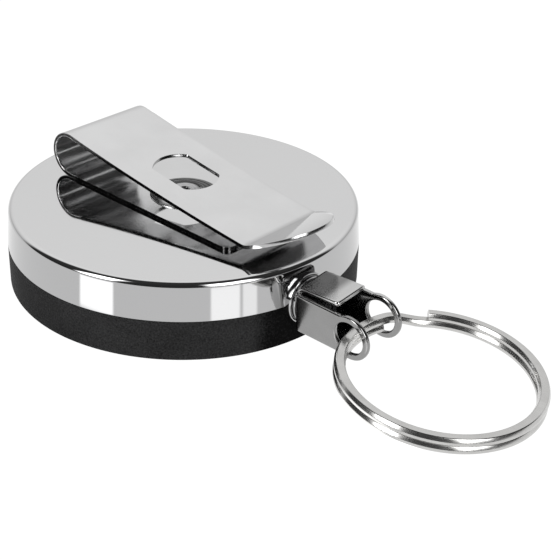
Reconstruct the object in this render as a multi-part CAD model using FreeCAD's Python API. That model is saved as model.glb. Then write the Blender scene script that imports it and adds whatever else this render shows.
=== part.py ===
"""Retractable belt reel: a round sprung cord reel with a spring-steel belt clip on its back,
and a folded bracket with a split ring on the end of the cord. Millimetres, degrees.

The origin is the centre of the flat black face, +Z points to the clip side, and +X runs along
the clip and the pull of the cord.
"""
import FreeCAD, Part
import math
import os

V = FreeCAD.Vector
UP = V(0, 0, 1)
PULL = V(1, 0, 0)
SIDE = V(0, 1, 0)

# Case: black moulded cover below the seam, plated steel cap above it
case_radius = 24.0
seam_height = 5.6
cap_height = 5.2
cap_draft = 0.4
cap_edge_radius = 0.75
cap_sheet = 0.5
cover_floor = 1.4
cover_wall = 1.8
cover_edge_radius = 0.2
cover_corner_radius = 0.8
spigot_height = 2.0
spigot_clearance = 0.05
boss_radius = 5.0
boss_height = 0.5

# Outlet: a flanged bush clamped between the cover and the cap, beside the centre line
outlet_offset = -1.8
outlet_rise = 0.15
bush_radius = 1.9
bush_bore_radius = 0.9
bush_mouth_radius = 1.6
bush_inset = 0.2
bush_flange_radius = 2.6
bush_flange_thickness = 0.7
bush_clearance = 0.05

# Arbor, spool and power spring
arbor_radius = 2.5
arbor_stub_radius = 1.5
arbor_stub_depth = 1.3
arbor_edge_radius = 0.25
slot_width = 0.6
washer_thickness = 0.4
washer_radius = 4.6
running_clearance = 0.05
spool_web = 0.8
spool_barrel_radius = 10.2
spool_barrel_wall = 0.8
spool_side_clearance = 1.0
spool_flange_thickness = 0.9
groove_height = 1.8
spool_window_radius = 2.2
spool_window_count = 8
lid_thickness = 0.7
lid_step = 0.2
lid_clearance = 0.05
hold_down_inner_radius = 6.0
hold_down_outer_radius = 9.0
hold_down_height = 1.5
spring_sheet = 0.25
spring_pitch = 0.75
spring_wall_margin = 0.7
spring_start_radius = 3.4
spring_fold_radius = 0.4
spring_edge_clearance = 0.3
spring_inner_tab = 2.1
spring_tab_reach = 0.55

# Cord: one layer wound in the spool's groove, then out through the bush
cord_diameter = 0.9
cord_pitch = 1.32
cord_first_gap = 0.1
cord_rim_margin = 1.2
cord_corner_inset = 0.4
cord_winding_sides = 6
cord_bend_radius = 2.2
cord_end_margin = 0.3
anchor_width = 1.6

# Bracket folded from one cross-shaped sheet round the crimped cord end
bracket_gap = 0.1
bracket_roll = 5.0
bracket_sheet = 0.65
bracket_length = 6.6
bracket_half_size = 3.4
bracket_flap_half_width = 2.55
bracket_fold_radius = 0.95
bracket_hole_radius = 0.8
eye_reach = 8.9
eye_neck = 2.1
eye_radius = 3.05
eye_hole_radius = 2.2
stop_radius = 1.5
stop_length = 2.6
stop_edge_radius = 0.4
stop_bore_clearance = 0.03

# Split ring: two flat turns of one wire, joined by a joggle
ring_outer_radius = 12.7
ring_wire_width = 1.4
ring_wire_height = 0.6
ring_wire_chamfer = 0.24
ring_turn_gap = 0.42
ring_end_gap = 0.4
ring_joggle_angle = 145.0
ring_joggle_sweep = 15.0
ring_joggle_steps = 6
ring_droop = 5.4
ring_tilt = -1.0
ring_reach = 11.9
ring_shift = -0.55
ring_drop = 0.4

# Belt clip: one spring strip, held under the rivet and free above its loop
clip_sheet = 0.5
clip_loop_radius = 3.22
clip_loop_centre = -15.7
clip_rake = 10.5
clip_back_reach = 15.1
clip_bend_reach = 17.0
clip_bend_height = 1.82
clip_bend_radius = 2.0
clip_lip_angle = 22.0
clip_lip_reach = 24.2
clip_loop_half_width = 7.1
clip_lip_half_width = 6.6
clip_lip_corner = 6.4
clip_back_corner = 1.0
clip_window_radius = 4.5
clip_window_half_width = 3.25
clip_window_centre = 0.25

# Rivet through the clip and the cap, over a backing washer
rivet_radius = 1.5
rivet_head_radius = 4.7
rivet_crown_radius = 2.5
rivet_head_height = 0.7
rivet_rim_height = 0.12
rivet_hole_radius = 0.6
rivet_hole_depth = 1.6
rivet_tail_radius = 2.4
rivet_tail_height = 0.4
backing_radius = 4.0
backing_thickness = 0.4

# Past the faces that a cut goes through, and the spacing under which two points are one
overrun = 1.0
same_spot = 0.000001

# Levels and places worked out from the sizes above
boss_top = cover_floor + boss_height
spool_bottom = boss_top + washer_thickness
chamber_floor = spool_bottom + spool_web
chamber_radius = spool_barrel_radius - spool_barrel_wall
case_height = seam_height + cap_height
outlet_height = seam_height + outlet_rise
cap_underside = case_height - cap_sheet
lid_top = cap_underside - hold_down_height
spool_top = lid_top - lid_thickness
groove_low = outlet_height - groove_height / 2
groove_high = outlet_height + groove_height / 2
arbor_hole_radius = arbor_radius + running_clearance
rivet_clear_radius = rivet_radius + running_clearance
cord_radius = cord_diameter / 2
cap_top_radius = case_radius - cap_draft
cap_draft_share = cap_draft / cap_height
cover_bore_radius = case_radius - cover_wall
spool_flange_radius = cover_bore_radius - spool_side_clearance
bush_inner_reach = cover_bore_radius - bush_inset
outlet = V(0, outlet_offset, outlet_height)
bush_front = case_radius + bush_flange_thickness
bracket_back = bush_front + bracket_gap
bracket_inside = bracket_back + bracket_sheet
eye_centre = outlet + PULL * (bracket_back + eye_reach)
clip_apex = V(clip_loop_centre - clip_loop_radius, case_height + clip_loop_radius, 0)


def in_plan(u, v):
    """A point of a plan outline, drawn at height zero."""
    return V(u, v, 0)


def in_profile(u, v):
    """A point of a side profile, drawn in the plane of X and Z."""
    return V(u, 0, v)


def at_outlet_level(u, v):
    """A point of the cord's route, at the height of the outlet."""
    return V(u, v, outlet_height)


def turned(direction, angle):
    """A direction turned about the case axis."""
    return FreeCAD.Rotation(UP, angle).multVec(direction)


def outline(corners, place):
    """Closed face through corners (u, v, radius), where a radius above zero rounds the corner."""
    spots = []
    for i, (u, v, radius) in enumerate(corners):
        here = V(u, v, 0)
        back = V(*corners[i - 1][:2], 0).sub(here).normalize()
        ahead = V(*corners[(i + 1) % len(corners)][:2], 0).sub(here).normalize()
        if radius == 0:
            spots.append((here, here, here))
            continue
        half = back.getAngle(ahead) / 2
        inward = (back + ahead).normalize()
        reach = radius / math.tan(half)
        middle = here + inward * (radius / math.sin(half) - radius)
        spots.append((here + back * reach, middle, here + ahead * reach))
    edges = []
    for i, spot in enumerate(spots):
        leaving = spots[i - 1][2]
        if not leaving.isEqual(spot[0], same_spot):
            edges.append(Part.makeLine(place(leaving.x, leaving.y), place(spot[0].x, spot[0].y)))
        if not spot[0].isEqual(spot[2], same_spot):
            edges.append(Part.Arc(*[place(p.x, p.y) for p in spot]).toShape())
    return Part.Face(Part.Wire(edges))


def walk(start, heading, moves, offset, place):
    """Edges of a bent line. A move is a straight length, or (radius, turn), left turns positive.
    The edges lie offset to the left of the line. Gives the edges, the line's end and its heading."""
    spot = V(start)
    edges = []
    for move in moves:
        ahead = turned(PULL, heading)
        left = turned(PULL, heading + 90)
        if not isinstance(move, tuple):
            begin = spot + left * offset
            end = begin + ahead * move
            edges.append(Part.makeLine(place(begin.x, begin.y), place(end.x, end.y)))
            spot = spot + ahead * move
            continue
        radius, turn = move
        way = math.copysign(1, turn)
        centre = spot + left * (way * radius)
        spokes = [turned(left * -way, turn * share) for share in (0, 0.5, 1)]
        ends = [centre + spoke * (radius - way * offset) for spoke in spokes]
        edges.append(Part.Arc(*[place(p.x, p.y) for p in ends]).toShape())
        spot = centre + spokes[-1] * radius
        heading += turn
    return edges, spot, heading


def strip(start, heading, moves, sheet, place):
    """Face of a bent strip whose sheet lies left of the walked line, or right if it is negative."""
    near = walk(start, heading, moves, 0, place)[0]
    far = walk(start, heading, moves, sheet, place)[0]
    begin = Part.makeLine(near[0].firstVertex().Point, far[0].firstVertex().Point)
    end = Part.makeLine(near[-1].lastVertex().Point, far[-1].lastVertex().Point)
    return Part.Face(Part.Wire(near + [end] + far[::-1] + [begin]))


def lathe(corners):
    """Solid of revolution about the case axis from corners (radius, height, rounding)."""
    return outline(corners, in_profile).revolve(V(0, 0, 0), UP, 360)


def outlet_lathe(corners):
    """Solid of revolution about the outlet's axis from corners (radius, reach, rounding)."""
    face = outline(corners, lambda radius, reach: outlet + V(reach, 0, radius))
    return face.revolve(outlet, PULL, 360)


def washer(inner, outer, low, high):
    """Flat washer about the case axis between two heights."""
    return lathe([(inner, low, 0), (outer, low, 0), (outer, high, 0), (inner, high, 0)])


def outlet_slot(rise):
    """Clear way for the outlet bush: a hole, open up or down by rise for assembly."""
    radius = bush_radius + bush_clearance
    length = case_radius + overrun
    low = V(0, outlet_offset - radius, outlet_height + min(rise, 0))
    way = Part.makeBox(length, 2 * radius, abs(rise), low)
    return Part.makeCylinder(radius, length, outlet, PULL).fuse(way)


def tube(edges, section):
    """Cord along a chain of tangent edges, from a section drawn square to their start."""
    return Part.Wire(edges).makePipeShell([section], True, False)


def round_section(edges):
    """Circle of the cord's size, square to the start of its route."""
    begin = edges[0].ParameterRange[0]
    circle = Part.makeCircle(cord_radius, edges[0].valueAt(begin), edges[0].tangentAt(begin))
    return Part.Wire(circle)


def faceted_section(edges, sides):
    """The same circle with a few flats, for the long hidden winding."""
    points = round_section(edges).discretize(sides + 1)
    return Part.makePolygon(points[:-1] + points[:1])


def least_gap(edges, thickness, apart):
    """Least clear distance between parts of a line of that thickness that lie further apart along it."""
    spots = []
    run = 0
    for edge in edges:
        step = edge.Length / 24
        for k, spot in enumerate(edge.discretize(25)[:-1]):
            spots.append((run + k * step, spot))
        run += edge.Length
    return min(p.distanceToPoint(q) for a, p in spots for b, q in spots if b - a > apart) - thickness


# Each piece by the name of its node
pieces = {}


def front_cover():
    """Black moulded cup with a boss for the arbor and a spigot that the cap is pressed over."""
    spigot_radius = case_radius - cap_sheet - spigot_clearance
    spigot_top = seam_height + spigot_height
    shell = lathe([
        (0, 0, 0),
        (case_radius, 0, cover_edge_radius),
        (case_radius, seam_height, 0),
        (spigot_radius, seam_height, 0),
        (spigot_radius - cap_draft_share * spigot_height, spigot_top, 0),
        (cover_bore_radius, spigot_top, 0),
        (cover_bore_radius, cover_floor, cover_corner_radius),
        (boss_radius, cover_floor, 0),
        (boss_radius, boss_top, 0),
        (0, boss_top, 0)])
    socket = Part.makeCylinder(arbor_stub_radius, arbor_stub_depth, V(0, 0, boss_top - arbor_stub_depth))
    return shell.cut(socket).cut(outlet_slot(spigot_height + overrun))


def back_cap():
    """Drawn steel cap with a slightly drafted wall, a rivet hole and a notch over the bush."""
    shell = lathe([
        (rivet_clear_radius, cap_underside, 0),
        (cap_top_radius - cap_sheet, cap_underside, cap_edge_radius - cap_sheet),
        (case_radius - cap_sheet, seam_height, 0),
        (case_radius, seam_height, 0),
        (cap_top_radius, case_height, cap_edge_radius),
        (rivet_clear_radius, case_height, 0)])
    return shell.cut(outlet_slot(-overrun))


def outlet_bush():
    """Turned bush with a trumpet mouth inside and a flange that seats on the round case wall."""
    bore_start = bush_inner_reach + bush_mouth_radius - bush_bore_radius
    bore = outlet_lathe([
        (0, bush_inner_reach - overrun, 0),
        (bush_mouth_radius + overrun, bush_inner_reach - overrun, 0),
        (bush_bore_radius, bore_start, cord_radius),
        (bush_bore_radius, bush_front + overrun, 0),
        (0, bush_front + overrun, 0)])
    blank = outlet_lathe([
        (0, bush_inner_reach, 0),
        (bush_flange_radius, bush_inner_reach, 0),
        (bush_flange_radius, bush_front, bush_flange_thickness / 2),
        (0, bush_front, 0)])
    flange = blank.cut(Part.makeCylinder(case_radius + bush_clearance, case_height))
    length = bush_front - bush_inner_reach - bush_flange_thickness / 2
    barrel = Part.makeCylinder(bush_radius, length, outlet + PULL * bush_inner_reach, PULL)
    return flange.fuse(barrel).removeSplitter().cut(bore)


def arbor_post():
    """Steel post pressed into the cover's boss, slotted across for the spring's inner end."""
    post = lathe([
        (0, boss_top - arbor_stub_depth, 0),
        (arbor_stub_radius, boss_top - arbor_stub_depth, 0),
        (arbor_stub_radius, boss_top, 0),
        (arbor_radius, boss_top, 0),
        (arbor_radius, lid_top, arbor_edge_radius),
        (0, lid_top, 0)])
    slot = Part.makeBox(2 * arbor_radius, slot_width, lid_top - chamber_floor + overrun,
                        V(-arbor_radius, -slot_width / 2, chamber_floor))
    return post.cut(slot)


pieces["front_cover"] = front_cover()
pieces["back_cap"] = back_cap()
pieces["outlet_bush"] = outlet_bush()
pieces["arbor_post"] = arbor_post()
pieces["thrust_washer"] = washer(arbor_hole_radius, washer_radius, boss_top, spool_bottom)
pieces["hold_down_ring"] = washer(hold_down_inner_radius, hold_down_outer_radius, lid_top, cap_underside)

# Cord: a spiral of half turns, each a half pitch wider, whose end points at the outlet
cord_first_radius = spool_barrel_radius + cord_first_gap + cord_radius
cord_room = spool_flange_radius - cord_rim_margin - cord_radius - cord_first_radius
cord_half_turns = math.floor(2 * cord_room / cord_pitch)
cord_last_radius = cord_first_radius + cord_half_turns * cord_pitch / 2
cord_corner = V(bush_inner_reach + cord_corner_inset, outlet_offset, 0)
leave_turn = math.acos(cord_last_radius / cord_corner.Length)
start_angle = math.degrees(math.atan2(cord_corner.y, cord_corner.x) - leave_turn) - 180 * cord_half_turns
cord_stub = cord_diameter
cord_start = turned(PULL, start_angle) * cord_first_radius - turned(SIDE, start_angle) * cord_stub
cord_turns = [(cord_first_radius + cord_pitch * (2 * k + 1) / 4, 180) for k in range(cord_half_turns)]
winding, winding_end, winding_heading = walk(
    cord_start, start_angle + 90, [cord_stub] + cord_turns + [cord_stub], 0, at_outlet_level)
lead_turn = -math.remainder(winding_heading, 360)
bend_reach = cord_bend_radius * math.tan(math.radians(abs(lead_turn) / 2))
lead_moves = [
    cord_corner.distanceToPoint(winding_end) - bend_reach,
    (cord_bend_radius, lead_turn),
    bracket_inside + stop_length - cord_end_margin - cord_corner.x - bend_reach]
lead = walk(winding_end, winding_heading, lead_moves, 0, at_outlet_level)[0]
pieces["cord_winding"] = tube(winding, faceted_section(winding, cord_winding_sides))
pieces["cord_lead"] = tube(lead, round_section(lead))
print("cord: winding %.0f mm long, lead %.0f mm, least gap of the winding to itself %.2f mm" % (
    sum(e.Length for e in winding), sum(e.Length for e in lead),
    least_gap(winding, cord_diameter, math.pi * cord_first_radius)))


# Power spring: folded into the arbor's slot, wound outwards, folded into the barrel's slot
spring_fold = spring_fold_radius + spring_sheet
spring_run = spring_inner_tab + spring_start_radius - spring_fold
spring_room = chamber_radius - spring_wall_margin - spring_start_radius
spring_turn_count = math.floor(spring_room / spring_pitch)
spring_turns = [
    (spring_start_radius + spring_pitch * (2 * k + 1) / 4, 180) for k in range(2 * spring_turn_count)]
spring_end_radius = spring_start_radius + spring_pitch * spring_turn_count
spring_outer_tab = chamber_radius + spring_tab_reach - spring_end_radius - spring_fold_radius
spring_moves = [spring_run, (spring_fold, 90)] + spring_turns + [(spring_fold_radius, -90), spring_outer_tab]
spring_start = V(-spring_inner_tab, -spring_sheet / 2, 0)
spring_low = chamber_floor + spring_edge_clearance
spring_high = spool_top - lid_step - spring_edge_clearance
spring_face = strip(spring_start, 0, spring_moves, spring_sheet, in_plan)
spring_face.translate(UP * spring_low)
pieces["power_spring"] = spring_face.extrude(UP * (spring_high - spring_low))
spring_line, spring_end = walk(spring_start, 0, spring_moves, 0, in_plan)[:2]
print("spring: strip %.0f mm long, least gap to itself %.2f mm" % (
    sum(e.Length for e in spring_line),
    least_gap(spring_line, spring_sheet, math.pi * (spring_start_radius + spring_pitch))))


def spool():
    """Moulded spool: spring chamber inside the barrel, narrow cord groove between two flanges."""
    body = lathe([
        (arbor_hole_radius, spool_bottom, 0),
        (spool_barrel_radius, spool_bottom, 0),
        (spool_barrel_radius, groove_low - spool_flange_thickness, 0),
        (spool_flange_radius, groove_low - spool_flange_thickness, 0),
        (spool_flange_radius, groove_low, 0),
        (spool_barrel_radius, groove_low, 0),
        (spool_barrel_radius, groove_high, 0),
        (spool_flange_radius, groove_high, 0),
        (spool_flange_radius, groove_high + spool_flange_thickness, 0),
        (spool_barrel_radius, groove_high + spool_flange_thickness, 0),
        (spool_barrel_radius, spool_top, 0),
        (chamber_radius, spool_top, 0),
        (chamber_radius, chamber_floor, 0),
        (arbor_hole_radius, chamber_floor, 0)])
    for k in range(spool_window_count):
        spot = turned(PULL, 360 * k / spool_window_count) * ((spool_barrel_radius + spool_flange_radius) / 2)
        body = body.cut(Part.makeCylinder(spool_window_radius, case_height, spot))
    sunk = spool_barrel_wall / 2
    block = Part.makeBox(sunk + cord_first_gap + cord_radius, anchor_width, groove_height,
                         V(spool_barrel_radius - sunk, -cord_stub - anchor_width, groove_low))
    block.rotate(V(0, 0, 0), UP, start_angle)
    slot_edge = spring_end.y + (spring_sheet - slot_width) / 2
    slot = Part.makeBox(spool_barrel_wall + 2 * overrun, slot_width, spool_top - chamber_floor,
                        V(chamber_radius - overrun, slot_edge, chamber_floor))
    return body.fuse(block).removeSplitter().cut(slot)


def spool_lid():
    """Disc that closes the spring chamber, stepped into the barrel."""
    step_radius = chamber_radius - lid_clearance
    return lathe([
        (arbor_hole_radius, spool_top - lid_step, 0),
        (step_radius, spool_top - lid_step, 0),
        (step_radius, spool_top, 0),
        (spool_barrel_radius, spool_top, 0),
        (spool_barrel_radius, lid_top, 0),
        (arbor_hole_radius, lid_top, 0)])


pieces["spool"] = spool()
pieces["spool_lid"] = spool_lid()


def cord_stop():
    """Ferrule crimped on the cord's end, which bears on the inside of the bracket."""
    bore = cord_radius + stop_bore_clearance
    end = bracket_inside + stop_length
    return outlet_lathe([
        (bore, bracket_inside, 0),
        (stop_radius, bracket_inside, 0),
        (stop_radius, end, stop_edge_radius),
        (bore, end, 0)])


def end_bracket():
    """Cross-shaped sheet folded into an open box, with a round eye on each side flap."""
    half = bracket_flap_half_width

    def channel(length, place):
        fold = bracket_fold_radius
        flap = length - fold
        moves = [flap, (fold, 90), 2 * (bracket_half_size - fold), (fold, 90), flap]
        return strip(V(length, bracket_half_size, 0), 180, moves, bracket_sheet, place)

    sides = channel(eye_reach - eye_neck, in_plan)
    sides.translate(UP * -half)
    sides = sides.extrude(UP * (2 * half))
    covers = channel(bracket_length, in_profile)
    covers.translate(SIDE * -half)
    covers = covers.extrude(SIDE * (2 * half))
    box = sides.fuse(covers)
    centre = PULL * eye_reach
    for edge in (bracket_half_size - bracket_sheet, -bracket_half_size):
        box = box.fuse(Part.makeCylinder(eye_radius, bracket_sheet, centre + SIDE * edge, SIDE))
    pin_hole = Part.makeCylinder(eye_hole_radius, 2 * (bracket_half_size + overrun),
                                 centre - SIDE * (bracket_half_size + overrun), SIDE)
    cord_hole = Part.makeCylinder(bracket_hole_radius, bracket_sheet + 2 * overrun, PULL * -overrun, PULL)
    box = box.cut(pin_hole).cut(cord_hole).removeSplitter()
    box.rotate(V(0, 0, 0), PULL, bracket_roll)
    box.translate(outlet + PULL * bracket_back)
    return box


pieces["cord_stop"] = cord_stop()
pieces["end_bracket"] = end_bracket()


def split_ring():
    """Flat wire wound twice round, stepping from one level to the other in a short joggle."""
    middle = ring_outer_radius - ring_wire_width / 2
    step = ring_wire_height + ring_turn_gap
    end_turn = math.degrees(ring_end_gap / middle)
    half_sweep = ring_joggle_sweep / 2
    coil_turn = 360 - ring_joggle_sweep - end_turn
    inner = ring_outer_radius - ring_wire_width
    low = -ring_wire_height / 2
    high = ring_wire_height / 2
    cut = ring_wire_chamfer
    section = outline([
        (inner + cut, low, 0),
        (ring_outer_radius - cut, low, 0),
        (ring_outer_radius, low + cut, 0),
        (ring_outer_radius, high - cut, 0),
        (ring_outer_radius - cut, high, 0),
        (inner + cut, high, 0),
        (inner, high - cut, 0),
        (inner, low + cut, 0)], in_profile)

    def placed(angle, level):
        face = section.copy()
        face.rotate(V(0, 0, 0), UP, angle)
        face.translate(UP * level)
        return face

    upper = placed(ring_joggle_angle + half_sweep, step / 2).revolve(V(0, 0, 0), UP, coil_turn)
    lower = placed(ring_joggle_angle + half_sweep + end_turn, -step / 2).revolve(V(0, 0, 0), UP, coil_turn)
    wires = []
    for k in range(ring_joggle_steps + 1):
        share = k / ring_joggle_steps
        level = step * (share * share * (3 - 2 * share) - 0.5)
        wires.append(placed(ring_joggle_angle - half_sweep + ring_joggle_sweep * share, level).OuterWire)
    joggle = Part.makeLoft(wires, True, True)
    ring = upper.fuse([lower, joggle]).removeSplitter()
    ring.rotate(V(0, 0, 0), PULL, ring_tilt)
    ring.rotate(V(0, 0, 0), SIDE, ring_droop)
    sag = ring_drop + ring_reach * math.sin(math.radians(ring_droop))
    ring.translate(eye_centre + V(ring_reach, ring_shift, -sag))
    print("ring: least gap between its turns %.2f mm" % (step - ring_wire_height))
    return ring


pieces["split_ring"] = split_ring()


def clip_plan(reach, half_width, corner):
    """Plan of the clip strip from behind its loop to a rounded end, as a tall prism."""
    behind = clip_apex.x - overrun
    face = outline([
        (behind, -clip_loop_half_width, 0),
        (reach, -half_width, corner),
        (reach, half_width, corner),
        (behind, clip_loop_half_width, 0)], in_plan)
    face.translate(UP * (case_height - overrun))
    return face.extrude(UP * (2 * clip_loop_radius + 2 * overrun))


def clip_strip(heading, moves, sheet):
    """A bent strip that starts at the loop's apex, wider than the clip."""
    face = strip(clip_apex, heading, moves, sheet, in_profile)
    face.translate(SIDE * -(clip_loop_half_width + overrun))
    return face.extrude(SIDE * (2 * (clip_loop_half_width + overrun)))


def clip_back_leaf():
    """Lower half of the strip: flat on the cap under the rivet, then up round half of the loop."""
    moves = [(clip_loop_radius, 90), clip_back_reach - clip_loop_centre]
    leaf = clip_strip(270, moves, clip_sheet)
    leaf = leaf.common(clip_plan(clip_back_reach, clip_loop_half_width, clip_back_corner))
    return leaf.cut(Part.makeCylinder(rivet_clear_radius, case_height + overrun + clip_sheet))


def clip_spring_leaf():
    """Upper half of the strip: down from the loop to the bend, then flared up to the lip."""
    rake = math.radians(clip_rake)
    loop_end = V(clip_loop_centre + clip_loop_radius * math.sin(rake),
                 clip_apex.y + clip_loop_radius * math.cos(rake), 0)
    chord = V(clip_bend_reach, case_height + clip_bend_height, 0).sub(loop_end)
    sweep = math.atan2(chord.y, chord.x) + rake
    leaf_turn = 2 * math.degrees(sweep)
    moves = [
        (clip_loop_radius, -90 - clip_rake),
        (chord.Length / (2 * math.sin(sweep)), leaf_turn),
        (clip_bend_radius, clip_lip_angle + clip_rake - leaf_turn)]
    bend_end = walk(clip_apex, 90, moves, 0, in_profile)[1]
    moves.append((clip_lip_reach + overrun - bend_end.x) / math.cos(math.radians(clip_lip_angle)))
    leaf = clip_strip(90, moves, -clip_sheet)
    leaf = leaf.common(clip_plan(clip_lip_reach, clip_lip_half_width, clip_lip_corner))
    centre = V(clip_window_centre, 0, case_height)
    corner = centre - V(clip_window_radius, clip_window_half_width, 0)
    punch_height = 2 * clip_loop_radius + overrun
    flats = Part.makeBox(2 * clip_window_radius, 2 * clip_window_half_width, punch_height, corner)
    window = Part.makeCylinder(clip_window_radius, punch_height, centre).common(flats)
    return leaf.cut(window)


def clip_rivet():
    """Semi-tubular rivet: coned head on the clip, hole down its middle, tail set on the washer."""
    seat = case_height + clip_sheet
    tail = cap_underside - backing_thickness
    crown = seat + rivet_head_height
    return lathe([
        (0, tail - rivet_tail_height, 0),
        (rivet_tail_radius, tail - rivet_tail_height, 0),
        (rivet_tail_radius, tail, 0),
        (rivet_radius, tail, 0),
        (rivet_radius, seat, 0),
        (rivet_head_radius, seat, 0),
        (rivet_head_radius, seat + rivet_rim_height, 0),
        (rivet_crown_radius, crown, 0),
        (rivet_hole_radius, crown, 0),
        (rivet_hole_radius, crown - rivet_hole_depth, 0),
        (0, crown - rivet_hole_depth, 0)])


pieces["clip_back_leaf"] = clip_back_leaf()
pieces["clip_spring_leaf"] = clip_spring_leaf()
pieces["clip_rivet"] = clip_rivet()
pieces["backing_washer"] = washer(
    rivet_clear_radius, backing_radius, cap_underside - backing_thickness, cap_underside)

os.makedirs("parts", exist_ok=True)
for name, shape in pieces.items():
    shape.exportStep("parts/%s.step" % name)
    print("%s: %d solid, %.1f mm3, valid %s" % (name, len(shape.Solids), shape.Volume, shape.isValid()))
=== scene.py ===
"""Looks of the retractable belt reel: plated cap, black cover, folded belt clip, bracket and split ring."""
import bmesh
import bpy
import math
from mathutils import Matrix, Vector


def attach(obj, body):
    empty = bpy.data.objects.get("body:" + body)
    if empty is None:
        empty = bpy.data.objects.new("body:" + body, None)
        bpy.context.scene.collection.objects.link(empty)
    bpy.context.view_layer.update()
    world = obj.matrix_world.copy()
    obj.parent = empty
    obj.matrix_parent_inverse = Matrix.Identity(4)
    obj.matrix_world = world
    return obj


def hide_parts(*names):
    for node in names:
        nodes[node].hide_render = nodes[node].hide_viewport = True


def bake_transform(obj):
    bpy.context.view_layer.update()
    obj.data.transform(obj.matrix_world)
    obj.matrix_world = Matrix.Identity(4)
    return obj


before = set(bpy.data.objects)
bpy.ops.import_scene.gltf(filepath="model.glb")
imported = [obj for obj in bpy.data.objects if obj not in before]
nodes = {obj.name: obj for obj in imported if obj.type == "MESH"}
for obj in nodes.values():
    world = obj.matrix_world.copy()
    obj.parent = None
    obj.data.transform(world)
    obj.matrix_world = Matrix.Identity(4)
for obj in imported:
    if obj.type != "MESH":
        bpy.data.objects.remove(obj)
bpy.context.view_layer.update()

# Front cover: the lower half of the case, a cup injection moulded in black plastic with a fine eroded
# grain. Its rim steps in to a spigot, over which the cap is pressed, and its boss holds the post.
mm = 0.001
case_radius = 24.0
seam_height = 5.6
seam_line = 0.03
cap_sheet = 0.5
spigot_foot = 23.45
spigot_tip = 23.3
spigot_top = 7.6
cover_inside = 22.2
cover_floor = 1.4
boss_radius = 5.0
boss_top = 1.9
post_radius = 1.5
post_seat = 0.6
outlet_way = (0.985, -0.17, 0)


class Wire:
    """A shader socket that takes part in sums; add() puts in any node and gives one of its outputs."""

    def __init__(self, tree, socket=None):
        self.tree = tree
        self.socket = socket

    def add(self, kind, inputs=(), output=0, **settings):
        node = self.tree.nodes.new(kind)
        for name, value in settings.items():
            setattr(node, name, value)
        for key, value in dict(inputs).items():
            if isinstance(value, Wire):
                self.tree.links.new(value.socket, node.inputs[key])
            else:
                node.inputs[key].default_value = value
        return Wire(self.tree, node.outputs[output])

    def sum(self, operation, first, second):
        return self.add("ShaderNodeMath", {0: first, 1: second}, operation=operation)

    def __add__(self, other):
        return self.sum("ADD", self, other)

    def __sub__(self, other):
        return self.sum("SUBTRACT", self, other)

    def __rsub__(self, other):
        return self.sum("SUBTRACT", other, self)

    def __mul__(self, other):
        return self.sum("MULTIPLY", self, other)

    def __pow__(self, other):
        return self.sum("POWER", self, other)

    __radd__ = __add__
    __rmul__ = __mul__

    def place(self):
        """Where the surface is in the piece's own frame, in metres."""
        return self.add("ShaderNodeTexCoord", output="Object")

    def noise(self, size, stretch=(1, 1, 1), detail=3.0):
        """Noise from 0 to 1 in the piece's own place, with features of that size in millimetres."""
        spread = self.add("ShaderNodeVectorMath", {0: self.place(), 1: stretch}, operation="MULTIPLY")
        return self.add("ShaderNodeTexNoise", {"Vector": spread, "Scale": 1 / (size * mm), "Detail": detail})

    def between(self, low, high, dark, light):
        """Colour that goes from dark to light as the value goes from low to high."""
        share = self.add("ShaderNodeMapRange", {"Value": self, "From Min": low, "From Max": high})
        return self.add("ShaderNodeMix", {0: share, 6: (*dark, 1), 7: (*light, 1)},
                        output=2, data_type="RGBA")

    def dot(self, way):
        """How far a place or a direction goes that way."""
        return self.add("ShaderNodeVectorMath", {0: self, 1: way}, output="Value", operation="DOT_PRODUCT")

    def rise(self, low, high):
        """Soft step from 0 to 1 as the value goes from low to high."""
        return self.add("ShaderNodeMapRange", {"Value": self, "From Min": low, "From Max": high},
                        interpolation_type="SMOOTHSTEP")

    def past(self, way, low, high):
        """Soft step from 0 to 1 as a place goes that way from low to high, in millimetres."""
        return self.dot(way).rise(low * mm, high * mm)

    def bump(self, height, strength):
        """Normal of a surface raised by the value times a height in millimetres."""
        return self.add("ShaderNodeBump", {"Height": self, "Distance": height * mm, "Strength": strength})


def surface(name, **constants):
    """New material with those constant sockets: the material, its shader and a wire to start from."""
    material = bpy.data.materials.new(name)
    material.use_nodes = True
    shader = material.node_tree.nodes["Principled BSDF"]
    for key, value in constants.items():
        shader.inputs[key.replace("_", " ")].default_value = value
    return material, shader, Wire(material.node_tree)


def feed(shader, **wires):
    """Joins wires to the shader's sockets of those names."""
    for key, wire in wires.items():
        wire.tree.links.new(wire.socket, shader.inputs[key.replace("_", " ")])


def piece(name, points, faces, material):
    """Mesh object from points in millimetres, smooth, with its material."""
    mesh = bpy.data.meshes.new(name)
    mesh.from_pydata([tuple(c * mm for c in p) for p in points], [], faces)
    mesh.materials.append(material)
    mesh.shade_smooth()
    made = bpy.data.objects.new(name, mesh)
    bpy.context.scene.collection.objects.link(made)
    return made


def dress(made, sharp=32):
    """Merges doubled points, turns faces outwards and keeps edges above that angle crisp."""
    work = bmesh.new()
    work.from_mesh(made.data)
    bmesh.ops.remove_doubles(work, verts=work.verts, dist=0.0005 * mm)
    bmesh.ops.dissolve_degenerate(work, edges=work.edges, dist=0.0001 * mm)
    bmesh.ops.recalc_face_normals(work, faces=work.faces)
    work.to_mesh(made.data)
    work.free()
    made.data.shade_smooth()
    made.data.set_sharp_from_angle(angle=math.radians(sharp))
    weigh = made.modifiers.new("even_faces", "WEIGHTED_NORMAL")
    weigh.keep_sharp = True


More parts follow.
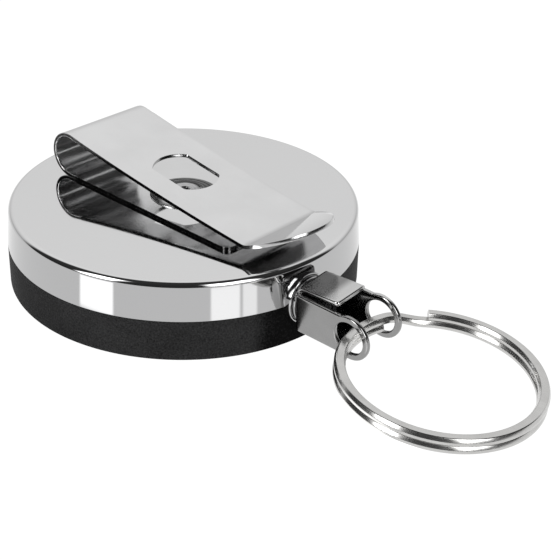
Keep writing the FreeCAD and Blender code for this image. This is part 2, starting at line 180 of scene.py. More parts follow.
def rounded(corners, steps=6):
    """Points along corners (u, v, radius), each corner above zero rounded by an arc."""
    points = []
    for i, (u, v, radius) in enumerate(corners):
        here = Vector((u, v))
        if radius == 0:
            points.append(here)
            continue
        back = (Vector(corners[i - 1][:2]) - here).normalized()
        ahead = (Vector(corners[(i + 1) % len(corners)][:2]) - here).normalized()
        half = back.angle(ahead) / 2
        centre = here + (back + ahead).normalized() * (radius / math.sin(half))
        start = here + back * (radius / math.tan(half)) - centre
        turn = math.pi - 2 * half
        way = 1 if back.cross(ahead) < 0 else -1
        for k in range(steps + 1):
            angle = way * turn * k / steps
            c, s = math.cos(angle), math.sin(angle)
            points.append(centre + Vector((start.x * c - start.y * s, start.x * s + start.y * c)))
    return points


def lathe(name, corners, material, segments=160, place=None, steps=6):
    """Closed profile of (radius, height, rounding) turned round the case axis, or round another by place."""
    profile = rounded(corners, steps)
    points = []
    for k in range(segments):
        angle = 2 * math.pi * k / segments
        for p in profile:
            radius = max(p.x, 0.0)
            points.append((radius * math.cos(angle), radius * math.sin(angle), p.y))
    if place:
        points = [place(*p) for p in points]
    n = len(profile)
    faces = []
    for k in range(segments):
        a, b = k * n, (k + 1) % segments * n
        for i in range(n):
            j = (i + 1) % n
            if profile[i].x > 0 or profile[j].x > 0:
                faces.append((a + i, b + i, b + j, a + j))
    made = piece(name, points, faces, material)
    dress(made)
    return made


cover, cover_shader, wire = surface("black_plastic_grain", IOR=1.46, Specular_IOR_Level=0.02)
grain = wire.noise(0.22, detail=5.0)
handled = wire.noise(9.0)
# Painted shade: the cover is painted darker towards the outlet, where the bracket shades it.
painted_shade_by_outlet = wire.place().past(outlet_way, case_radius - 0.8, case_radius - 0.1)
feed(cover_shader,
     Base_Color=(grain * 0.7 + handled * 0.3 - painted_shade_by_outlet * 0.3).between(
         0.25, 0.7, (0.002, 0.002, 0.0021), (0.034, 0.034, 0.0345)),
     Roughness=0.4 + handled * 0.1 + grain * 0.16,
     Normal=grain.bump(0.05, 0.6))
front_cover = lathe("front_cover_shell", [
    (0, 0, 0),
    (case_radius, 0, 0.2),
    (case_radius, seam_height - seam_line, 0.1),
    (case_radius - cap_sheet, seam_height, 0),
    (spigot_foot, seam_height, 0),
    (spigot_tip, spigot_top, 0),
    (cover_inside, spigot_top, 0),
    (cover_inside, cover_floor, 0.8),
    (boss_radius, cover_floor, 0),
    (boss_radius, boss_top, 0),
    (post_radius, boss_top, 0),
    (post_radius, post_seat, 0),
    (0, post_seat, 0)], cover, segments=256)
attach(front_cover, "case")
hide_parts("front_cover")

# Back cap: the upper half of the case, deep-drawn from steel sheet and plated bright. Its wall drafts in
# a little towards a small radius at the top, and it is pressed over the cover's spigot.
case_height = 10.8
cap_draft = 0.4
cap_corner = 0.75
cap_inner_corner = 0.25
rivet_clearance = 1.55
chrome, chrome_shader, wire = surface("bright_plating", Metallic=1.0)
smear = wire.noise(14.0)
polish = wire.noise(0.5, detail=2.0)
# Painted light: the flat top is painted lighter than the wall, which stays darker.
painted_light_on_top = wire.place().past((0, 0, 1), case_height - 0.4, case_height - 0.1)
feed(chrome_shader,
     Base_Color=(smear * 0.08 + painted_light_on_top).between(0.0, 1.08, (0.435, 0.435, 0.438), (0.66, 0.66, 0.662)),
     Roughness=0.03 + smear ** 2 * 0.05 + polish * 0.012,
     Normal=smear.bump(0.012, 0.1))
cap_top_radius = case_radius - cap_draft
back_cap = lathe("back_cap_shell", [
    (rivet_clearance, case_height - cap_sheet, 0),
    (cap_top_radius - cap_sheet, case_height - cap_sheet, cap_inner_corner),
    (case_radius - cap_sheet, seam_height, 0),
    (case_radius, seam_height, 0.08),
    (cap_top_radius, case_height, cap_corner),
    (rivet_clearance, case_height, 0)], chrome, segments=256, steps=14)
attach(back_cap, "case")
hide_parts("back_cap")

# Spool and what it runs on: a drum, its lid, a thrust washer and a spacer ring moulded in pale nylon,
# which turn and rest on a slotted steel post that is pressed into the cover.
nylon, nylon_shader, wire = surface("pale_nylon_satin", IOR=1.53)
flow = wire.noise(3.0)
feed(nylon_shader,
     Base_Color=flow.between(0.3, 0.7, (0.62, 0.61, 0.55), (0.7, 0.69, 0.64)),
     Roughness=0.4 + flow * 0.15,
     Normal=wire.noise(0.2).bump(0.01, 0.3))
steel, steel_shader, wire = surface("rolled_steel", Metallic=1.0)
rolled = wire.noise(0.3, stretch=(0.1, 0.1, 1))
feed(steel_shader,
     Base_Color=rolled.between(0.3, 0.7, (0.3, 0.3, 0.31), (0.42, 0.42, 0.43)),
     Roughness=0.24 + rolled * 0.16,
     Normal=rolled.bump(0.006, 0.3))
inner_pieces = {"spool": nylon, "spool_lid": nylon, "thrust_washer": nylon, "hold_down_ring": nylon,
                "arbor_post": steel}
for name, material in inner_pieces.items():
    nodes[name].data.materials.clear()
    nodes[name].data.materials.append(material)

# Power spring: a strip of hardened steel wound seven times in the drum. Its folded inner end is held in
# the post's slot, and its outer end is hooked into the drum's wall.
spring_sheet = 0.25
spring_width = 4.2
spring_level = 3.4
spring_pitch = 0.75
spring_half_turns = 14
coil_from = 3.4
slot_from = -2.1
slot_run = 4.57
tab_bend = 0.65
hook_bend = 0.4
hook_run = 0.9
spring_step = 0.35


def spiral(start, heading, moves, step):
    """Points along straight moves and (radius, turn) arcs in plan, with the heading in radians at each."""
    x, y = start
    way = math.radians(heading)
    line = [(x, y, way)]
    for move in moves:
        radius, turn = move if isinstance(move, tuple) else (None, 0)
        length = abs(math.radians(turn)) * radius if radius else move
        count = max(2, math.ceil(length / step))
        for _ in range(count):
            half = math.radians(turn) / count / 2
            chord = 2 * radius * math.sin(abs(half)) if radius else move / count
            way += half
            x += chord * math.cos(way)
            y += chord * math.sin(way)
            way += half
            line.append((x, y, way))
    return line


def rod_faces(stations, n):
    """Faces of a rod whose sections of n points stand at that many stations, with both ends closed."""
    faces = [tuple(range(n)), tuple(stations * n - 1 - i for i in range(n))]
    for k in range(stations - 1):
        for i in range(n):
            j = (i + 1) % n
            faces.append((k * n + i, k * n + j, k * n + n + j, k * n + n + i))
    return faces


def swept(name, line, section, material, level):
    """Solid whose section (left, up) follows a line of (x, y, heading) at a level."""
    points = []
    for x, y, way in line:
        for left, rise in section:
            points.append((x - left * math.sin(way), y + left * math.cos(way), level + rise))
    made = piece(name, points, rod_faces(len(line), len(section)), material)
    dress(made)
    return made


strip = [(0, 0), (spring_sheet, 0), (spring_sheet, spring_width), (0, spring_width)]
inner_end = spiral((slot_from, -spring_sheet / 2), 0, [slot_run, (tab_bend, 90)], spring_step)
spring_tab = swept("power_spring_tab", inner_end, strip, steel, spring_level)
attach(spring_tab, "case")
spring_turns = [(coil_from + spring_pitch * (2 * k + 1) / 4, 180) for k in range(spring_half_turns)]
coil_start = (coil_from, tab_bend - spring_sheet / 2)
coil = spiral(coil_start, 90, spring_turns + [(hook_bend, -90), hook_run], spring_step)
power_spring = swept("power_spring_strip", coil, strip, steel, spring_level)
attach(power_spring, "spool")
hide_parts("power_spring")

# Cord: thin black braided nylon. Most of it is wound flat on the drum, with its inner end in the hub, and
# a short lead leaves the outer turn and bends out through the bush to the bracket.
cord_radius = 0.45
cord_pitch = 1.32
cord_half_turns = 13
cord_core = 10.75
cord_tail = 0.9
lead_bend = 2.2
lead_corner = 22.4
lead_end = 27.75
winding_step = 1.0
lead_step = 0.04
outlet_side = -1.8
outlet_level = 5.75
weave_lean = 1.6
braid, braid_shader, wire = surface("black_braid", IOR=1.5, Sheen_Weight=0.3)
stripes = []
for lean in (weave_lean, -weave_lean):
    slanted = wire.add("ShaderNodeVectorMath", {0: wire.place(), 1: (1, lean, lean)}, operation="MULTIPLY")
    stripes.append(wire.add("ShaderNodeTexWave", {"Vector": slanted, "Scale": 420.0, "Distortion": 0.6},
                            output=1, bands_direction="DIAGONAL"))
weave = wire.sum("MAXIMUM", *stripes)
feed(braid_shader,
     Base_Color=weave.between(0.2, 0.9, (0.006, 0.006, 0.0065), (0.03, 0.03, 0.031)),
     Roughness=0.62 + wire.noise(0.3) * 0.2,
     Normal=weave.bump(0.06, 0.8))
round_steps = [2 * math.pi * k / 12 for k in range(12)]
cord_round = [(cord_radius * math.cos(a), cord_radius * math.sin(a)) for a in round_steps]
cord_turns = [(cord_core + cord_pitch * (2 * k + 1) / 4, 180) for k in range(cord_half_turns)]
wound_radius = cord_core + cord_pitch * cord_half_turns / 2
corner = Vector((lead_corner, outlet_side))
leave = math.degrees(math.atan2(corner.y, corner.x) - math.acos(wound_radius / corner.length))
first = math.radians(leave - 180 * cord_half_turns)
wound_from = (cord_core * math.cos(first) + cord_tail * math.sin(first),
              cord_core * math.sin(first) - cord_tail * math.cos(first))
wound = spiral(wound_from, math.degrees(first) + 90, [cord_tail] + cord_turns + [cord_tail], winding_step)
cord_winding = swept("cord_winding_turns", wound, cord_round, braid, outlet_level)
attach(cord_winding, "spool")
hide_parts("cord_winding")
out_at = wound[-1]
bend = -math.degrees(math.remainder(out_at[2], 2 * math.pi))
bend_reach = lead_bend * math.tan(math.radians(abs(bend) / 2))
straight = (corner - Vector(out_at[:2])).length - bend_reach
lead_moves = [straight, (lead_bend, bend), lead_end - lead_corner - bend_reach]
lead = spiral(out_at[:2], math.degrees(out_at[2]), lead_moves, lead_step)
cord_lead = swept("cord_lead_run", lead, cord_round, braid, outlet_level)
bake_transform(cord_lead)
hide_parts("cord_lead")

# Outlet bush: a bright plated collar turned from bar, with two beads. Its shank stands in the hole in the
# wall, and its flared throat guides the cord.
bush_throat = 0.9
throat_flare = 0.7
bush_shank = 1.9
bush_back = 22.0
flange_at = 23.3
flange_radius = 3.4
flange_front = 24.2
neck_radius = 2.8
neck_slope = 0.02
bead_radius = 3.1
bead_back = 24.34
bush_front = 24.7


def along_pull(x, y, z):
    """Turns a lathe's axis to the pull of the cord, at the outlet."""
    return z, y + outlet_side, outlet_level + x


outlet_bush = lathe("outlet_bush_turned", [
    (bush_throat, bush_back + throat_flare, 0),
    (bush_throat + throat_flare, bush_back, 0),
    (bush_shank, bush_back, 0),
    (bush_shank, flange_at, 0),
    (flange_radius, flange_at, 0),
    (flange_radius, flange_front, 0.2),
    (neck_radius, flange_front + neck_slope, 0.04),
    (neck_radius, bead_back - neck_slope, 0.04),
    (bead_radius, bead_back, 0.16),
    (bead_radius, bush_front, 0.16),
    (bush_throat, bush_front, 0.12)], chrome, segments=96, place=along_pull)
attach(outlet_bush, "case")
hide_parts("outlet_bush")

# Cord stop: a blackened steel ferrule crimped on the cord's end. It bears on the inside of the bracket's
# back, so that the bracket can turn on the cord.
stop_radius = 1.5
stop_bore = 0.48
stop_back = 25.48
stop_front = 28.05
blackened, blackened_shader, wire = surface("blackened_steel", Metallic=1.0)
scale = wire.noise(0.4)
feed(blackened_shader,
     Base_Color=scale.between(0.3, 0.7, (0.012, 0.012, 0.013), (0.04, 0.04, 0.042)),
     Roughness=0.45 + scale * 0.2,
     Normal=scale.bump(0.02, 0.4))
cord_stop = lathe("cord_stop_ferrule", [
    (stop_bore, stop_back, 0),
    (stop_radius, stop_back, 0.1),
    (stop_radius, stop_front, 0.4),
    (stop_bore, stop_front, 0.1)], blackened, segments=48, place=along_pull)
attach(cord_stop, "cord_end")
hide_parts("cord_stop")

# Belt clip: one strip of bright spring steel. Its flat lower leaf lies under the rivet, its loop bends up
# and over, and its upper leaf runs down to a bend and a round flared lip. The rivet was set through the
# window punched in the upper leaf.
clip_sheet = 0.5
loop_radius = 3.22
loop_centre = -15.7
clip_rake = 10.5
bend_at = 17.0
bend_lift = 1.82
bend_radius = 2.0
lip_angle = 22.0
lip_reach = 24.2
lip_corner = 6.4
loop_half = 7.1
lip_half = 6.6
taper_from = -19.92
window_radius = 4.5
window_half = 3.25
window_centre = 0.25
window_field = (-6.0, 6.4)
back_from = -14.4
back_reach = 15.1
back_corner = 1.0
leaf_step = 0.25
bend_step = 0.06
columns = 24
handover = 6


def sheet(name, cells, place, thickness, material, edge=0.07, seam=None, inside=None, rim=None):
    """Bent sheet from flat cells of (u, v) corners. place gives a point of the outer face and the way in.
    The sheet stays open along its seam to the next piece. Its inner face and its rim may have a material
    of their own, and its rim's edges are rounded by edge."""
    spots = {}
    flat = []
    for cell in cells:
        flat.append([spots.setdefault((round(u, 5), round(v, 5)), len(spots)) for u, v in cell])
    corners = list(spots)
    outer = [place(u, v) for u, v in corners]
    points = [p for p, _ in outer] + [p + inwards * thickness for p, inwards in outer]
    n = len(outer)
    faces = [tuple(c) for c in flat] + [tuple(i + n for i in reversed(c)) for c in flat]
    used = {}
    for cell in flat:
        for a, b in zip(cell, cell[1:] + cell[:1]):
            used.setdefault(frozenset((a, b)), []).append((a, b))
    rims = [pairs[0] for pairs in used.values() if len(pairs) == 1]
    if seam:
        rims = [(a, b) for a, b in rims if not (seam(*corners[a]) and seam(*corners[b]))]
    faces += [(b, a, a + n, b + n) for a, b in rims]
    n_cells = len(flat)
    made = piece(name, points, faces, material)
    for part, span in ((inside, range(n_cells, 2 * n_cells)), (rim, range(2 * n_cells, len(faces)))):
        if part:
            made.data.materials.append(part)
        for k in span if part else ():
            made.data.polygons[k].material_index = len(made.data.materials) - 1
    rim_pairs = {frozenset(p) for p in rims} | {frozenset((a + n, b + n)) for a, b in rims}
    work = bmesh.new()
    work.from_mesh(made.data)
    bmesh.ops.recalc_face_normals(work, faces=work.faces)
    edges = [e for e in work.edges if frozenset(v.index for v in e.verts) in rim_pairs]
    bmesh.ops.bevel(work, geom=edges, offset=edge * mm, segments=3, profile=0.5, affect="EDGES",
                    clamp_overlap=True, material=0)
    work.to_mesh(made.data)
    work.free()
    made.data.shade_smooth()
    weigh = made.modifiers.new("even_faces", "WEIGHTED_NORMAL")
    weigh.keep_sharp = False
    return made


def strip_cells(rows, columns):
    """Cells between rows of (u, half width), split across into that many columns."""
    grid = [[(u, half * (2 * k / columns - 1)) for k in range(columns + 1)] for u, half in rows]
    cells = []
    for low, high in zip(grid, grid[1:]):
        for k in range(columns):
            cells.append([low[k], high[k], high[k + 1], low[k + 1]])
    return cells


def holed_cells(outline, centre, hole, rings):
    """Cells between an outline that runs anticlockwise and a hole, whose size by angle hole gives."""
    spokes = []
    for u, v in outline:
        away = Vector((u - centre[0], v - centre[1]))
        near = away.normalized() * hole(math.atan2(away.y, away.x))
        spokes.append([tuple(Vector(centre) + near.lerp(away, (k / rings) ** 1.6)) for k in range(rings + 1)])
    cells = []
    for a, b in zip(spokes, spokes[1:] + spokes[:1]):
        for k in range(rings):
            cells.append([a[k], a[k + 1], b[k + 1], b[k]])
    return cells


def on_line(line):
    """Places (u, v) on a strip, where u counts along a line of (x, z, heading) and v goes across."""
    def place(u, v):
        k = min(int(u), len(line) - 2)
        (x0, z0, a0), (x1, z1, a1) = line[k], line[k + 1]
        t = u - k
        way = a0 + (a1 - a0) * t
        point = Vector((x0 + (x1 - x0) * t, v, z0 + (z1 - z0) * t))
        return point, Vector((math.sin(way), 0, -math.cos(way)))
    return place


def clip_half(x):
    """Half width of the upper leaf, tapered along its length and round at the lip."""
    half = loop_half - (loop_half - lip_half) * (x - taper_from) / (lip_reach - taper_from)
    past = x - (lip_reach - lip_corner)
    if past <= 0:
        return half
    return half - lip_corner + math.sqrt(max(lip_corner ** 2 - past ** 2, 0))


def window(angle):
    """Edge of the window seen from its middle: a circle with two flats."""
    return min(window_radius, window_half / max(abs(math.sin(angle)), 0.001))


def by_x(x, v):
    """Place on the upper leaf by its x."""
    k = max(i for i in range(len(upper) - 1) if upper_x[i] <= x + 1e-9)
    u = k + (x - upper_x[k]) / (upper_x[k + 1] - upper_x[k])
    return on_line(upper)(u, v)


def flat_back(x, v):
    """Place on the lower leaf, whose underside lies on the cap."""
    return Vector((x, v, case_height)), Vector((0, 0, 1))


clip, clip_shader, wire = surface("bright_strip", Metallic=1.0)
smudge = wire.noise(7.0)
drawn = wire.noise(0.35, stretch=(0.03, 1, 1), detail=2.0)
# Painted shade: past the bend the lip is painted darker than the rest of the leaf.
lip = wire.place().past((1, 0, 0), bend_at - 0.2, bend_at + 1.4)
feed(clip_shader,
     Base_Color=(smudge - lip * 0.9).between(-0.6, 0.7, (0.52, 0.52, 0.522), (0.67, 0.67, 0.672)),
     Roughness=0.035 + smudge ** 2 * 0.06 + drawn * 0.02,
     Normal=(smudge * 0.8 + drawn * 0.2).bump(0.012, 0.1))
under, under_shader, wire = surface("strip_underside", Metallic=1.0)
rolled_marks = wire.noise(1.4, stretch=(1, 0.06, 1), detail=2.0)
feed(under_shader,
     Base_Color=rolled_marks.between(0.3, 0.7, (0.74, 0.74, 0.743), (0.84, 0.84, 0.842)),
     Roughness=0.12 + rolled_marks * 0.14,
     Normal=rolled_marks.bump(0.02, 0.2))
sheared, sheared_shader, wire = surface("sheared_edge", Metallic=1.0)
tears = wire.noise(0.3, stretch=(1, 1, 0.3))
spot = wire.place()
from_middle = wire.add("ShaderNodeMath", {0: spot.dot((0, 1, 0))}, operation="ABSOLUTE")
# Painted shade: the strip's long side edges are painted nearly black, short of the lip.
painted_shade_long_edge = from_middle.rise(5.0 * mm, 5.5 * mm) * spot.past((1, 0, 0), bend_at + 0.6, bend_at)
feed(sheared_shader,
     Base_Color=(tears * 0.3 + 0.6 - painted_shade_long_edge * 0.7).between(
         0.0, 0.9, (0.01, 0.01, 0.01), (0.56, 0.56, 0.562)),
     Roughness=0.1 + tears * 0.14,
     Normal=tears.bump(0.02, 0.4))
rake = math.radians(clip_rake)
loop_level = case_height + loop_radius
loop_end = Vector((loop_centre + loop_radius * math.sin(rake), loop_level + loop_radius * math.cos(rake)))
chord = Vector((bend_at, case_height + bend_lift)) - loop_end
sweep = math.atan2(chord.y, chord.x) + rake
leaf_turn = 2 * math.degrees(sweep)
leaf_radius = chord.length / (2 * math.sin(sweep))
upper = spiral(tuple(loop_end), -clip_rake, [(leaf_radius, leaf_turn)], leaf_step)
lip_turn = lip_angle + clip_rake - leaf_turn
upper += spiral(upper[-1][:2], math.degrees(upper[-1][2]), [(bend_radius, lip_turn)], bend_step)[1:]
lip_run = (lip_reach - upper[-1][0]) / math.cos(math.radians(lip_angle))
lip_start = len(upper) - 1
upper += spiral(upper[-1][:2], lip_angle, [lip_run], lip_run / 2)[1:]
loop = spiral((loop_centre, case_height), 180, [(loop_radius, -180 - clip_rake)], bend_step)
upper_x = [p[0] for p in upper]
hole_from, hole_to = [min(range(len(upper)), key=lambda k: abs(upper_x[k] - x)) for x in window_field]
leaf_rows = [(upper_x[k], clip_half(upper_x[k])) for k in range(handover, lip_start + 1)]
for k in range(1, 61):
    x = lip_reach - lip_corner + lip_corner * math.sin(math.pi / 2 * k / 60)
    if x > upper_x[lip_start] + 0.02:
        leaf_rows.append((x, clip_half(x)))
before = [r for r in leaf_rows if r[0] <= upper_x[hole_from] + 1e-9]
after = [r for r in leaf_rows if r[0] >= upper_x[hole_to] - 1e-9]
xa, xb = before[-1][0], after[0][0]
sides = [r for r in leaf_rows if xa < r[0] < xb][::2]
field = [(x, -half) for x, half in [before[-1]] + sides]
field += [(xb, after[0][1] * (2 * k / columns - 1)) for k in range(columns)]
field += [(x, half) for x, half in [after[0]] + sides[::-1]]
field += [(xa, before[-1][1] * (1 - 2 * k / columns)) for k in range(columns)]
cells = strip_cells(before, columns) + strip_cells(after, columns)
cells += holed_cells(field, (window_centre, 0.0), window, 14)
clip_leaf = sheet("clip_spring_leaf_strip", cells, by_x, clip_sheet, clip,
                  seam=lambda x, v: x < upper_x[handover] + 0.001, inside=under, rim=sheared)
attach(clip_leaf, "clip_leaf")
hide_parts("clip_spring_leaf")
loop_line = [(x, case_height, math.pi) for x in (back_from, back_from - 0.6)] + loop + upper[1:handover + 1]
loop_rows = [(u, clip_half(x) if z > loop_level - 0.02 else loop_half)
             for u, (x, z, _) in enumerate(loop_line)]
clip_loop = sheet("clip_loop_strip", strip_cells(loop_rows, columns), on_line(loop_line), clip_sheet, clip,
                  seam=lambda u, v: u < 0.001 or u > len(loop_line) - 1.001,
                  inside=under, rim=sheared)
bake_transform(clip_loop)
back_to = back_reach - back_corner
back_rows = [(back_from + (back_to - back_from) * k / 24, loop_half) for k in range(25)]
for k in range(1, 13):
    turn = math.pi / 2 * k / 12
    round_half = loop_half - back_corner * (1 - math.cos(turn))
    back_rows.append((back_to + back_corner * math.sin(turn), round_half))
clip_back = sheet("clip_back_leaf_strip", strip_cells(back_rows, columns), flat_back, clip_sheet, clip,
                  seam=lambda x, v: x < back_from + 0.001, rim=sheared)
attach(clip_back, "clip_base")
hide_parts("clip_back_leaf")

# Rivet: semi-tubular steel, turned, plated and dulled. Its head is a low cone with turning rings, a flat
# crown and a hole, and its tail is set over a washer inside the cap, so that the clip can turn on it.
shank_radius = 1.5
tail_radius = 2.4
tail_from = 9.5
tail_to = 9.9
head_radius = 4.7
head_seat = 11.3
head_rim = 11.42
outer_ring = (3.9, 11.63)
outer_groove = (3.8, 11.6)
inner_ring = (3.1, 11.8)
inner_groove = (3.0, 11.78)
crown_radius = 2.5
crown_height = 12.0
eyelet_foot = 1.1
eyelet_outside = 1.0
eyelet_inside = 0.75
eyelet_height = 12.06
eyelet_throat = 11.9
rivet_hole = 0.6
hole_floor = 10.4
far_side = (-0.664, 0.747, 0)
dulled, dulled_shader, wire = surface("dulled_plating", Metallic=1.0)
tumbled = wire.noise(0.6)
spot = wire.place()
flat_spot = wire.add("ShaderNodeVectorMath", {0: spot, 1: (1 / mm, 1 / mm, 0)}, operation="MULTIPLY")
radius = wire.add("ShaderNodeVectorMath", {0: flat_spot}, output="Value", operation="LENGTH")
rings = wire.add("ShaderNodeMath", {0: radius * 17.0}, operation="SINE") * 0.5 + 0.5
cone = radius.rise(1.8, 2.0)
# Painted reflection: the far half of the head's cone is painted nearly black, as the dark underside of the
# leaf would show in it.
painted_dark_reflection = cone * spot.past(far_side, 0.0, 1.0)
feed(dulled_shader,
     Base_Color=(tumbled * 0.2 + rings * 0.2 + 0.6 - painted_dark_reflection * 0.78).between(
         0.0, 1.0, (0.006, 0.006, 0.006), (0.66, 0.66, 0.662)),
     Roughness=0.07 + tumbled * 0.06 + rings * 0.03 + cone * 0.16,
     Normal=(rings * 0.7 + tumbled * 0.3).bump(0.012, 0.2))
rivet = lathe("clip_rivet_turned", [
    (0, tail_from, 0),
    (tail_radius, tail_from, 0.1),
    (tail_radius, tail_to, 0),
    (shank_radius, tail_to, 0),
    (shank_radius, head_seat, 0),
    (head_radius, head_seat, 0),
    (head_radius, head_rim, 0.05),
    (*outer_ring, 0.04),
    (*outer_groove, 0.04),
    (*inner_ring, 0.04),
    (*inner_groove, 0.04),
    (crown_radius, crown_height, 0.12),
    (eyelet_foot, crown_height, 0.05),
    (eyelet_outside, eyelet_height, 0.04),
    (eyelet_inside, eyelet_height, 0.08),
    (rivet_hole, eyelet_throat, 0),
    (rivet_hole, hole_floor, 0),
    (0, hole_floor, 0)], dulled, segments=96)
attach(rivet, "case")
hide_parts("clip_rivet")
nodes["backing_washer"].data.materials.clear()
nodes["backing_washer"].data.materials.append(dulled)

# End bracket: a cross-shaped steel sheet folded into an open box, barrel plated, with a round eye on each
# side flap. The cord comes through its back. Its top flap sprang open a little after folding. Laid flat,
# s runs over the side flaps and t over the top and bottom ones.
bracket_sheet = 0.65
bracket_back = 24.8
bracket_roll = 5.0
back_half = 2.7
fold_radius = 0.7
fold_steps = 14
side_half = 2.75
wing_half = 2.55
wing_length = 6.6
side_bend = 90
open_bend = 86
plate_at = 4.6
eye_reach = 8.9
eye_radius = 3.05
eye_hole = 2.2
bracket_edge = 0.26
plated, plated_shader, wire = surface("darker_plating", Metallic=1.0)
barrel = wire.noise(2.2)
fine = wire.noise(0.12)
spot = wire.place()
# Painted light and shade: the top flap is painted darker at its back and lighter towards its front, and the
# plating's dark tone is partly painted shade for the shaded board that the flaps face.
painted_on_top_flap = spot.past((0, 0, 1), 8.5, 8.9)
painted_light_to_front = spot.past((1, 0, 0), 28.5, 30.2)
feed(plated_shader,
     Base_Color=(barrel * 0.15 + 0.15 + painted_on_top_flap * (painted_light_to_front - 0.18)).between(
         0.0, 1.1, (0.215, 0.214, 0.213), (0.56, 0.559, 0.557)),
     Roughness=0.1 + barrel * 0.06 + fine * 0.02,
     Normal=(barrel * 0.8 + fine * 0.2).bump(0.01, 0.12))
fold_arc = fold_radius * math.pi / 2
unfold = back_half + fold_arc - fold_radius


def bracket_place(s, t):
    """Place of a point of the flat sheet on the folded bracket, which hangs turned a little on the cord."""
    on_side = abs(s) >= abs(t)
    run = abs(s) if on_side else abs(t)
    past = run - back_half
    x, out, inwards = 0.0, run, Vector((1, 0))
    if past > 0:
        bent = math.radians(side_bend if on_side or t < 0 else open_bend)
        turn = min(past / fold_radius, bent)
        rest = past - fold_radius * turn
        x = fold_radius * (1 - math.cos(turn)) + rest * math.sin(turn)
        out = back_half + fold_radius * math.sin(turn) + rest * math.cos(turn)
        inwards = Vector((math.cos(turn), -math.sin(turn)))
    way = math.copysign(1, s if on_side else t)
    if on_side:
        point = Vector((x, way * out, t))
        inner_way = Vector((inwards.x, way * inwards.y, 0))
    else:
        point = Vector((x, s, way * out))
        inner_way = Vector((inwards.x, 0, way * inwards.y))
    roll = Matrix.Rotation(math.radians(bracket_roll), 3, "X")
    return roll @ point + Vector((bracket_back, outlet_side, outlet_level)), roll @ inner_way


def eye_edge(angle):
    """Edge of the flap's end seen from the eye: its round end, or the straight flap behind it."""
    c, s = math.cos(angle), math.sin(angle)
    if abs(math.remainder(angle, 2 * math.pi)) < shoulder + 0.0001:
        return eye_radius
    return min((plate_from - eye_at) / c, side_half / max(abs(s), 0.001))


def flap_rows(to_half, length, count):
    """Rows of (u, half width) over a fold and then along a flap, which the fold narrows or widens to that."""
    rows = []
    for k in range(fold_steps + 1):
        share = k / fold_steps
        rows.append((back_half + fold_arc * share, back_half + (to_half - back_half) * share))
    flat_from = rows[-1][0]
    return rows + [(flat_from + (length - flat_from) * k / count, to_half) for k in range(1, count + 1)]


plate_from = plate_at + unfold
eye_at = eye_reach + unfold
shoulder = math.atan2(side_half, -math.sqrt(eye_radius ** 2 - side_half ** 2))
corner_ray = math.atan2(side_half, plate_from - eye_at)
rays = [math.atan2(side_half * (1 - 2 * k / 12), plate_from - eye_at) % (2 * math.pi) for k in range(13)]
for side in (1, -1):
    rays += [side * (shoulder + (corner_ray - shoulder) * k / 8) % (2 * math.pi) for k in range(8)]
rays += [shoulder * (2 * k / 90 - 1) % (2 * math.pi) for k in range(1, 90)]
rays.sort()
eye_outline = [(eye_at + eye_edge(r) * math.cos(r), eye_edge(r) * math.sin(r)) for r in rays]
arm = strip_cells(flap_rows(side_half, plate_from, 6), 12)
arm += holed_cells(eye_outline, (eye_at, 0.0), lambda angle: eye_hole, 2)
wing = [[(v, u) for u, v in cell] for cell in strip_cells(flap_rows(wing_half, wing_length + unfold, 10), 12)]
middle_rows = [(back_half * (2 * k / 12 - 1), back_half) for k in range(13)]
bracket_cells = strip_cells(middle_rows, 12) + arm + wing
bracket_cells += [[(-u, v) for u, v in cell] for cell in arm] + [[(u, -v) for u, v in cell] for cell in wing]
end_bracket = sheet("end_bracket_sheet", bracket_cells, bracket_place, bracket_sheet, plated,
                    edge=bracket_edge)
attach(end_bracket, "bracket")
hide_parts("end_bracket")

# Split ring: nickel-plated steel wire, rolled flat with sloped shoulders and coiled twice. A joggle steps
# one turn down to the other, and the ring was threaded through the bracket's eyes.
ring_middle = 12.12
turn_level = 0.54
joggle = 150.0
half_sweep = 13.0
gap_turn = 1.91
turn_steps = 240
joggle_steps = 20
ring_dip = 5.4
ring_tilt = -1.0
ring_at = (45.7, -2.27)
ring_hang = 5.35
ring_drop = 11.9
nickel, nickel_shader, wire = surface("nickel_wire", Metallic=1.0)
worn = wire.noise(2.5)
lines = wire.noise(0.25, stretch=(1, 1, 4))
feed(nickel_shader,
     Base_Color=worn.between(0.3, 0.7, (0.5, 0.496, 0.487), (0.57, 0.566, 0.557)),
     Roughness=0.14 + worn * 0.08 + lines * 0.03,
     Normal=(worn * 0.6 + lines * 0.4).bump(0.01, 0.2))
wire_half = [(0.5, -0.52, 0.12), (0.72, -0.3, 0.15), (0.72, 0.02, 0.3), (0.46, 0.52, 0.2)]
wire_section = rounded([(-0.5, -0.52, 0.12)] + wire_half + [(-u, v, r) for u, v, r in wire_half[:0:-1]], 4)
turn_sweep = 360 - 2 * half_sweep - gap_turn
stations = []
for k in range(turn_steps + 1):
    stations.append((joggle - half_sweep - gap_turn + 360 - turn_sweep * k / turn_steps, turn_level))
for k in range(1, joggle_steps):
    share = k / joggle_steps
    step_down = 2 * turn_level * share * share * (3 - 2 * share)
    stations.append((joggle + half_sweep - 2 * half_sweep * share, turn_level - step_down))
for k in range(turn_steps + 1):
    stations.append((joggle - half_sweep - turn_sweep * k / turn_steps, -turn_level))
hang = Matrix.Rotation(math.radians(ring_dip), 3, "Y") @ Matrix.Rotation(math.radians(ring_tilt), 3, "X")
ring_centre = Vector((*ring_at, ring_hang - ring_drop * math.sin(math.radians(ring_dip))))
ring_points = []
for angle, level in stations:
    a = math.radians(angle)
    for p in wire_section:
        reach = ring_middle + p.x
        lying = Vector((reach * math.cos(a), reach * math.sin(a), level + p.y))
        ring_points.append(hang @ lying + ring_centre)
ring_faces = rod_faces(len(stations), len(wire_section))
split_ring = piece("split_ring_wire", ring_points, ring_faces, nickel)
dress(split_ring, sharp=50)
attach(split_ring, "ring")
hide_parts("split_ring")
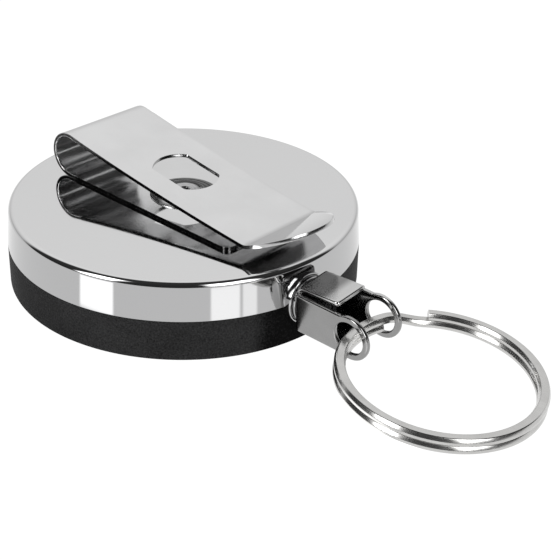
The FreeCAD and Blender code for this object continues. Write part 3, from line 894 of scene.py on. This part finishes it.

# Studio: a plain white board lit from below, a bright wall behind the object, a dark room in front of it,
# and three tall softboxes in that room. The board's glow is painted light: it fades away from the case, and
# beside the case it has three painted pools of light where the softboxes would fall, each between a line that
# it starts past and a line that it ends before.
board, board_shader, wire = surface("white_board", Base_Color=(0.05, 0.05, 0.05, 1), Roughness=0.9,
                                    Specular_IOR_Level=0.0, Emission_Strength=1.0)
spot = wire.place()
distance = wire.add("ShaderNodeVectorMath", {0: spot}, output="Value", operation="LENGTH")
glow = 1.01 - distance.rise(0.14, 0.3) * 0.36
near_case = distance.rise(0.034, 0.037) * distance.rise(0.051, 0.0485)
painted_light_pools = (((-23.52, 14.6), (0.25, 9.95), 1.25), ((62.48, -3.9), (81.21, -8.05), 0.9),
           ((83.33, -8.6), (92.58, -10.4), 0.7))


def board_way(angle):
    """Direction on the board at that angle from the cord's pull."""
    return math.cos(math.radians(angle)), math.sin(math.radians(angle)), 0


# Painted pools of light: power is how much each painted pool adds to the board's glow.
for (start_way, start_at), (end_way, end_at), power in painted_light_pools:
    past_start = spot.past(board_way(start_way), start_at - 0.5, start_at + 0.5)
    before_end = spot.past(board_way(end_way), end_at + 0.5, end_at - 0.5)
    glow = glow + past_start * before_end * near_case * power
feed(board_shader, Emission_Color=glow.between(0.0, 4.0, (0, 0, 0), (4, 4, 4)))
bpy.ops.mesh.primitive_plane_add(size=3.0, location=(0, 0, 0))
floor = bpy.context.object
floor.name = "floor"
floor.data.materials.append(board)
world = bpy.data.worlds.new("studio")
world.use_nodes = True
bpy.context.scene.world = world
wire = Wire(world.node_tree)
facing = wire.add("ShaderNodeTexCoord", output="Generated")
behind = Vector(far_side).normalized()
beside = Vector((behind.y, -behind.x, 0))
height = facing.dot((0, 0, 1))
light = 0.04 + facing.dot(behind).rise(0.2, 0.42) * (0.68 + height.rise(0.0, 0.7) * 0.28)
box_height = height.rise(0.12, 0.24) * height.rise(0.84, 0.68)
box_power = 7.0
for first_edge, last_edge in ((-64, -41), (20, 38.4), (40.3, 49.6)):
    a, b = math.radians(first_edge), math.radians(last_edge)
    past_first = facing.dot(beside * math.cos(a) + behind * math.sin(a)).rise(-0.08, 0.1)
    before_last = facing.dot(beside * -math.cos(b) - behind * math.sin(b)).rise(-0.08, 0.1)
    light = light + past_first * before_last * box_height * box_power
background = world.node_tree.nodes["Background"]
world.node_tree.links.new(light.socket, background.inputs["Strength"])
background.inputs["Color"].default_value = (1, 1, 1, 1)

# Camera: a long lens about thirty degrees above the board, on the side of the bracket, placed and turned
# so that the case, the clip and the ring lie in the picture as they do in the photograph.
camera = bpy.data.cameras.new("camera")
camera.lens = 86.786
camera.sensor_width = 36.0
camera.clip_start = 0.01
viewer = bpy.data.objects.new("camera", camera)
bpy.context.scene.collection.objects.link(viewer)
bpy.context.scene.camera = viewer
ahead = Vector((-0.57542, 0.64752, -0.49961)).normalized()
right = Vector((0.73634, 0.67602, 0.02808)).normalized()
viewer.matrix_world = Matrix((right, right.cross(ahead), -ahead)).transposed().to_4x4()
viewer.location = Vector((119.119, -114.024, 93.026)) * mm
bpy.context.scene.view_settings.view_transform = "Standard"
